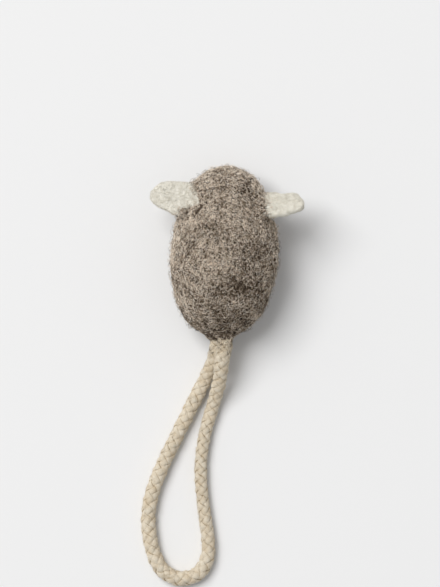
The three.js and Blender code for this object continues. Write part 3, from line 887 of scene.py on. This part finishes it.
# Wool drawn out over the front corner of the left ear's root
WEB_MIDDLE, WEB_SIZE, WEB_HEIGHT = (1.5, -6.4, -0.5), 2.1, 1.6
web_gap = np.stack(ear_local(EARS["left"], coat), -1) - np.array(WEB_MIDDLE)
web_rise = WEB_HEIGHT * np.exp(-(web_gap**2).sum(-1) / WEB_SIZE**2)
coat = coat + grid_normals(coat) * web_rise[..., None]
coat = press_round_ear(coat, EARS["left"])
coat = climb_ear(coat, grid_normals(coat), EARS["left"], 0.55, 0.55, 1.1)
coat = climb_ear(coat, grid_normals(coat), EARS["right"], 0.4, 2.0, 1.6)
at_tail = smooth_step(1.8 * (1.15 - tail_share(coat))) * (coat[..., 1] > REAR)
coat[..., 1] -= PIT_DEPTH * at_tail
# The belly flattens on the floor.
settled = 0.05 + 0.55 * np.exp((coat[..., 2] - 0.6) / 0.55)
coat[..., 2] = np.where(coat[..., 2] < 0.6, settled, coat[..., 2])
coat_verts, coat_faces = capped(coat)
coat_felt = make_mesh("coat_felt", coat_verts, coat_faces, [grey_felt_gap_shade])
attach(coat_felt, "mouse")
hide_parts("body_felt", "head_felt", "wool_core")

# -------------------- the rump's funnel round the cord

FUNNEL_SIDES = 96
FUNNEL_ROWS = 40
FUNNEL_MOUTH = 26.5
FUNNEL_THICK = 0.7
FUNNEL_WIDE, FUNNEL_ACROSS, FUNNEL_HIGH = 8.6, 2.5, 4.7  # half sizes on the coat and at the mouth


def funnel_ring(across, high):
    """Points round the two legs, in the upright plane, for half sizes across and along their line."""
    a = 2 * math.pi * np.arange(FUNNEL_SIDES) / FUNNEL_SIDES
    u, v = np.cos(a) * across, np.sin(a) * high
    x = TAIL_MIDDLE[0] + u * math.cos(TAIL_LEAN) + v * math.sin(TAIL_LEAN)
    z = TAIL_MIDDLE[1] - u * math.sin(TAIL_LEAN) + v * math.cos(TAIL_LEAN)
    return x, z


def funnel():
    """The funnel's outer rings, and all its rings, out to its mouth and back inside it."""
    outer = []
    for t in np.linspace(0, 1, FUNNEL_ROWS):
        ease = t**0.8
        x, z = funnel_ring(between(FUNNEL_WIDE, FUNNEL_ACROSS, ease), between(FUNNEL_WIDE, FUNNEL_HIGH, ease))
        z = np.maximum(z, 0.6)
        y = []
        for px, pz in zip(x, z):
            hit = body_tree.ray_cast(Vector((px, 60, pz)), Vector((0, -1, 0)))
            y.append(hit[0][1] if hit[0] is not None else BODY["front"] + BODY["length"] / 2)
        y = np.array(y)
        start = 0.2 - COAT_INSET - 0.9 * (1 - smooth_step(t / 0.15))
        outer.append(np.stack([x, y + start + (FUNNEL_MOUTH - y - start) * t**3.4, z], -1))
    outer = np.array(outer)
    skin = grid_normals(outer)
    flat = outer.reshape(-1, 3)
    lumps = 0.16 * waves(flat, 2, 4.5, 60, 21) + 0.07 * waves(flat, 0.8, 1.5, 80, 22)
    outer = outer + skin * lumps.reshape(outer.shape[:2])[:, :, None]
    inner = outer - skin * FUNNEL_THICK
    inner[..., 1] = np.minimum(inner[..., 1], outer[..., 1] - 0.05)
    return outer, np.concatenate([outer, inner[::-1]])


funnel_outer, funnel_rings = funnel()
n_rows = len(funnel_rings)
funnel_faces = grid_faces(n_rows, FUNNEL_SIDES).tolist()
last = (n_rows - 1) * FUNNEL_SIDES
for s in range(FUNNEL_SIDES):
    e = (s + 1) % FUNNEL_SIDES
    funnel_faces.append([last + s, last + e, e, s])
funnel_verts = funnel_rings.reshape(-1, 3)
rump_funnel = make_mesh("rump_funnel", funnel_verts, outward(funnel_verts, funnel_faces), [grey_felt_gap_shade])
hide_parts("tail_collar")
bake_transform(rump_funnel)

# -------------------- wool on the coat

coat_skin = Skin(coat_verts, coat_faces)
# Darker and lighter places of the wool, partly its own marbling and partly painted shade and light of the
# coat's soft undulations: sideways, back, size and tone.
MARBLING_AND_PAINTED_SHADE = [
    (2.4, -8.2, 2.6, -1.1), (10.8, -2.4, 3.2, -1.0), (-6.5, -19.0, 3.0, -1.1),
    (-6.8, 1.5, 4.5, -0.8), (-1.0, 10.6, 4.0, -1.2), (-8.0, 9.0, 4.0, -0.7),
    (1.0, 18.5, 4.0, -0.7), (9.6, -5.5, 2.6, 0.8), (-0.5, -9.5, 3.4, 0.9),
    (4.5, 2.0, 5.0, 0.7), (13.5, -1.5, 2.4, 0.8), (2.0, -24.0, 2.6, -0.7),
]
SHADE_SPREAD, PATCH_GAIN, MIDDLE_SHADE = 2.8, 1.5, 3.0
LOWEST_HAIR = 0.08


def marbled_and_painted_light_shades(points, tone):
    """Shade numbers for fibres at points: random, with lighter and darker patches of the coat that are partly
    painted shade, and painted light that lightens the wool towards the head and the key light's side.
    """
    patch = 0.30 * waves(points, 5, 13, 40, 51) + 0.22 * waves(points, 2, 4, 60, 52)
    for x, y, size, strength in MARBLING_AND_PAINTED_SHADE:
        away = ((points[:, 0] - x) ** 2 + (points[:, 1] - y) ** 2) / size**2
        patch += strength * np.exp(-away) * (points[:, 2] > 8)
    # Painted light and shade: the wool is made lighter towards the head and the key light's side (+X), and
    # darker towards the rump and the other side.
    patch -= 0.022 * (points[:, 1] + 4) - 0.014 * points[:, 0]
    value = rng.normal(size=len(points)) * SHADE_SPREAD + PATCH_GAIN * patch + tone
    return np.clip(np.round(value + MIDDLE_SHADE), 0, len(grey_wools) - 1).astype(int)


def keep_clear(lines):
    """Which fibres stay above the floor and off the cord's pit, the long crease and the ears' bare felt."""
    above = lines[:, :, 2].min(1) > LOWEST_HAIR
    tail = ((tail_share(lines) < 1.0) & (lines[..., 1] > REAR)).any(1)
    off = crease_place(CREASES[0], lines, 0.1, 0.95)[1]
    crease = ((off < 0.16) & (lines[..., 2] > 12)).any(1)
    on_ear = np.zeros(len(lines), bool)
    for ear in EARS.values():
        x, y, z = ear_local(ear, lines)
        over = (x > 0) & (x < EAR_LENGTH) & (np.abs(y) < 6.3) & (z > 0.9) & (z < 6)
        on_ear |= (over & (cover_depth(ear, lines) < -0.5)).any(1)
    return above & ~tail & ~crease & ~on_ear


def coat_layer(count, steps, length, curl, lie, rise, thick, tone):
    """Fibres all over the coat, with ranges for their length, lie, rise and thickness."""
    roots = coat_skin.places(count)
    lengths, lie, rise = (rng.uniform(*span, count) for span in (length, lie, rise))
    lines, normals = grow(coat_skin, roots, steps, lengths, curl, lie, rise)
    radii = taper(count, steps, rng.uniform(*thick, count) / 2)
    return picked(keep_clear(lines), lines, normals, radii, marbled_and_painted_light_shades(roots, tone))


# Fibres, points on each, length, curl, lie, rise, thickness and tone
matted = coat_layer(23000, 4, (0.7, 1.9), 0.45, (0.0, 0.15), (0.0, 0.1), (0.17, 0.26), 0.45)
crossed = coat_layer(24000, 4, (0.5, 1.5), 0.5, (0.1, 0.3), (0.0, 0.22), (0.14, 0.22), 0.55)
curled = coat_layer(5000, 7, (1.2, 3.0), 1.0, (0.2, 0.42), (0.1, 0.45), (0.08, 0.12), 1.2)
strays = coat_layer(2600, 7, (1.6, 4.2), 0.7, (0.2, 0.5), (0.3, 1.2), (0.05, 0.08), 0.3)
PER_PIECE = 5000
count = 0
for layer in (matted, crossed, curled, strays):
    for start in range(0, len(layer[0]), PER_PIECE):
        count += 1
        part = [values[start : start + PER_PIECE] for values in layer]
        wool_piece = fibre_object(f"coat_wool_{count}", *part, grey_wools)
        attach(wool_piece, "mouse")

# The funnel's wool, some of which runs on over the cord's first stretch
FUNNEL_HAIRS, FUNNEL_STEPS = 1700, 8
GUIDE_ACROSS, GUIDE_HIGH = 2.42, 4.62  # half sizes round both legs
guide = [funnel_outer]
for reach_on in (0.4, 0.9, 1.5, 2.2, 2.8):
    x, z = funnel_ring(GUIDE_ACROSS, GUIDE_HIGH)
    guide.append(np.stack([x, np.full(FUNNEL_SIDES, FUNNEL_MOUTH + reach_on), z], -1)[None])
guide_verts, guide_faces = capped(np.concatenate(guide))
guide_skin = Skin(guide_verts, guide_faces)
middle_y = guide_verts[guide_skin.triangles].mean(1)[:, 1]
roots = guide_skin.places(FUNNEL_HAIRS, np.clip((FUNNEL_MOUTH + 0.9 - middle_y) / 1.6, 0, 1) ** 1.5)
lengths = rng.uniform(1.2, 3.2, FUNNEL_HAIRS)
lie, rise = rng.uniform(0.0, 0.3, FUNNEL_HAIRS), rng.uniform(0.0, 0.35, FUNNEL_HAIRS)
lines, normals = grow(guide_skin, roots, FUNNEL_STEPS, lengths, 0.8, lie, rise)
good = (lines[:, :, 1].max(1) < FUNNEL_MOUTH + 2.2) & (lines[:, :, 2].min(1) > LOWEST_HAIR)
radii = taper(FUNNEL_HAIRS, FUNNEL_STEPS, rng.uniform(0.1, 0.19, FUNNEL_HAIRS) / 2)
shades = marbled_and_painted_light_shades(roots, 0.0)
funnel_wool = fibre_object("rump_wool", *picked(good, lines, normals, radii, shades), grey_wools)
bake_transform(funnel_wool)

# -------------------- wool on the ears

EAR_HAIRS, EAR_STEPS = 3600, 7
ROOT_HAIRS = EDGE_HAIRS = 900
ROOT_STEPS = 6


def outside_coat(lines):
    """Which fibres keep out of the coat."""
    at, normal = coat_skin.follow(lines)
    return (((lines - at) * normal).sum(-1) > -0.1).all(1)


for side_name, ear in EARS.items():
    skin = ear["skin"]
    # The ear's own fine wool
    roots = skin.places(EAR_HAIRS)
    lengths = rng.uniform(0.8, 2.4, EAR_HAIRS)
    lie, rise = rng.uniform(-0.03, 0.05, EAR_HAIRS), 1.4 * rng.uniform(0.0, 0.5, EAR_HAIRS) ** 2.4
    lines, normals = grow(skin, roots, EAR_STEPS, lengths, 0.7, lie, rise)
    free = outside_coat(lines) & (cover_depth(ear, lines) < 0.4).all(1)
    radii = taper(EAR_HAIRS, EAR_STEPS, rng.uniform(0.045, 0.085, EAR_HAIRS) / 2)
    shades = rng.choice(4, EAR_HAIRS, p=(0.15, 0.35, 0.35, 0.15))
    kept = picked(free, lines, normals, radii, shades)
    ear_wool = fibre_object(f"ear_{side_name}_wool", *kept, cream_wools)
    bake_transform(ear_wool)
    # Grey wool of the coat, felted over the root
    middles = skin.verts[skin.triangles].mean(1)
    out = ear_local(ear, middles)[0]
    share = smooth_step(cover_depth(ear, middles) / 0.9 + 0.5) * (out > -0.5) * (out < 9.5)
    roots = skin.places(ROOT_HAIRS, share)
    lengths = rng.uniform(0.8, 2.2, ROOT_HAIRS)
    lie, rise = rng.uniform(0.0, 0.25, ROOT_HAIRS), rng.uniform(0.0, 0.25, ROOT_HAIRS)
    lines, normals = grow(skin, roots, ROOT_STEPS, lengths, 0.7, lie, rise)
    near = (cover_depth(ear, lines) > -0.6).all(1)
    radii = taper(ROOT_HAIRS, ROOT_STEPS, rng.uniform(0.11, 0.17, ROOT_HAIRS) / 2)
    kept = picked(near, lines, normals, radii, marbled_and_painted_light_shades(roots, 0.2))
    root_wool = fibre_object(f"ear_{side_name}_root_wool", *kept, grey_wools)
    # Finer hairs of the coat, which thin out over the cream
    roots = skin.places(EDGE_HAIRS, np.clip(cover_depth(ear, middles) / 3.2 + 1, 0, 1) ** 2)
    lie, rise = rng.uniform(0.1, 0.4, EDGE_HAIRS), rng.uniform(0.0, 0.3, EDGE_HAIRS)
    lengths = rng.uniform(0.6, 2.0, EDGE_HAIRS)
    lines, normals = grow(skin, roots, ROOT_STEPS, lengths, 0.9, lie, rise)
    radii = taper(EDGE_HAIRS, ROOT_STEPS, rng.uniform(0.055, 0.1, EDGE_HAIRS) / 2)
    any_shade, pale = rng.integers(0, 6, EDGE_HAIRS), rng.integers(3, 6, EDGE_HAIRS)
    shades = np.where(cover_depth(ear, roots) > -0.7, any_shade, pale)
    kept = picked(outside_coat(lines), lines, normals, radii, shades)
    edge_wool = fibre_object(f"ear_{side_name}_edge_wool", *kept, grey_wools)
    for piece in (root_wool, edge_wool):
        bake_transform(piece)

# -------------------- floor and light

FLOOR_SHADE = linear(239, 239, 239)
BACKDROP_SHADE = linear(218, 218, 218)
FLOOR_HALF = 1500.0
floor = make_mesh(
    "floor",
    np.array([[-1, -1, 0], [1, -1, 0], [1, 1, 0], [-1, 1, 0]]) * FLOOR_HALF,
    [[0, 1, 2, 3]],
    [material("floor_paper", FLOOR_SHADE, 1.0)],
)

KEY_FROM = Vector((1.8, -1.6, 3.9))
KEY_SIZE = 2.6
KEY_POWER = 168.0
FILL = 0.38
key_data = bpy.data.lights.new("key", "AREA")
key_data.shape = "SQUARE"
key_data.size = KEY_SIZE
key_data.energy = KEY_POWER
key = bpy.data.objects.new("key", key_data)
key.location = KEY_FROM
key.rotation_euler = (-KEY_FROM).to_track_quat("-Z", "Y").to_euler()
scene.collection.objects.link(key)
world = bpy.data.worlds.new("world")
world.use_nodes = True
nodes, links = world.node_tree.nodes, world.node_tree.links
fill = set_inputs(nodes["Background"], Color=(1, 1, 1, 1), Strength=FILL)
# The backdrop that is seen past the floor's edge, as pale as the floor is there.
backdrop = set_inputs(nodes.new("ShaderNodeBackground"), Color=BACKDROP_SHADE)
ray = nodes.new("ShaderNodeLightPath")
mirrored, seen = nodes.new("ShaderNodeMath"), nodes.new("ShaderNodeMath")
for node in (mirrored, seen):
    node.operation = "MAXIMUM"
links.new(ray.outputs["Is Glossy Ray"], mirrored.inputs[0])
links.new(ray.outputs["Is Transmission Ray"], mirrored.inputs[1])
links.new(ray.outputs["Is Camera Ray"], seen.inputs[0])
links.new(mirrored.outputs[0], seen.inputs[1])
mix = nodes.new("ShaderNodeMixShader")
links.new(seen.outputs[0], mix.inputs[0])
links.new(fill.outputs[0], mix.inputs[1])
links.new(backdrop.outputs[0], mix.inputs[2])
links.new(mix.outputs[0], nodes["World Output"].inputs["Surface"])
scene.world = world
scene.view_settings.view_transform = "Standard"
